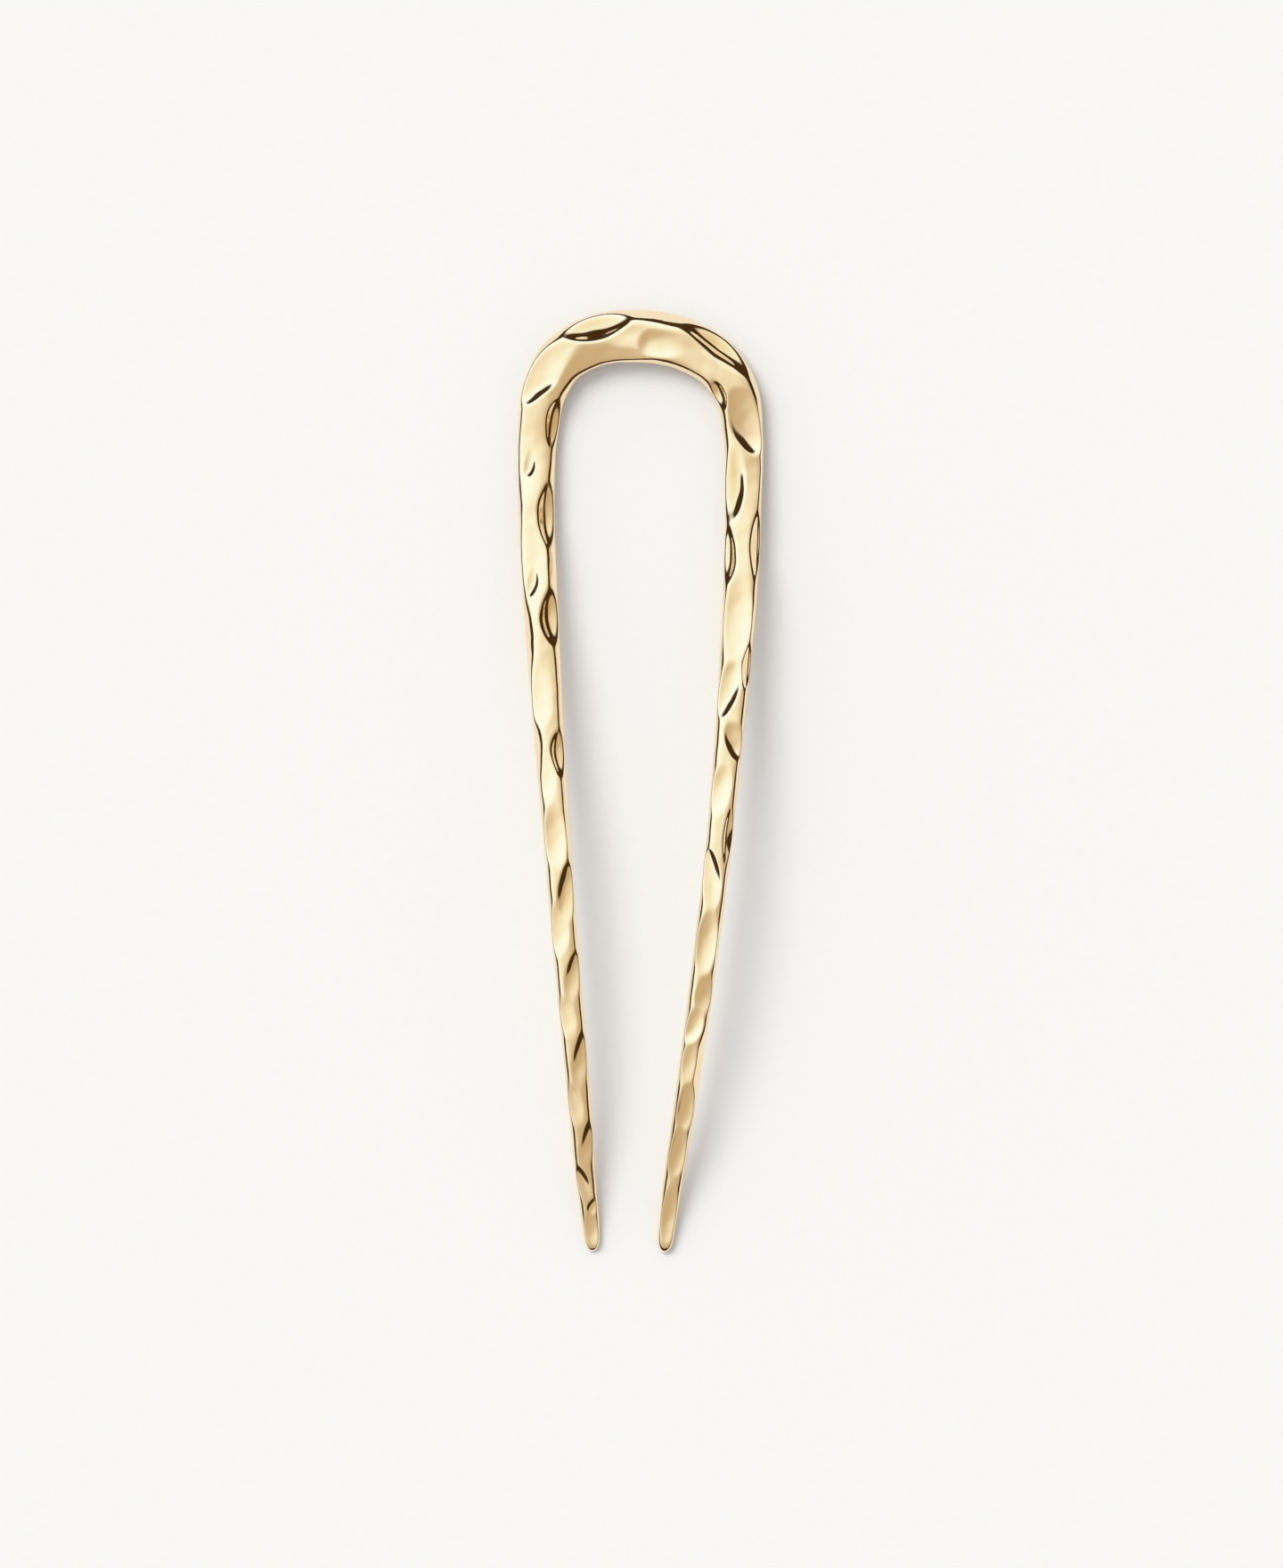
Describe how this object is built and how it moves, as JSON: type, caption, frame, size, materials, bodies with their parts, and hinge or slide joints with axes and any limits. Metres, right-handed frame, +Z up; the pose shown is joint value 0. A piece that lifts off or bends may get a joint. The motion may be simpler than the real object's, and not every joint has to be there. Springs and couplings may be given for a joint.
{
  "type": "hair pin",
  "caption": "Narrow U-shaped hair pin in hammered polished metal: a broad rounded bend and prongs that taper and bow off the table, for holding a twist of hair.",
  "frame": {"origin": "on the table at the centre of the box the pin fills, lying flat with its prongs bowed up", "axes": "+Y along the pin towards its bend, so the prong tips point to -Y; +Z up off the table; +X across the two prongs"},
  "size_m": [0.0346, 0.1324, 0.0104],
  "materials": {
    "gold_plate": "polished"
  },
  "bodies": {
    "root": {"hair_pin": "gold_plate"}
  },
  "joints": []
}
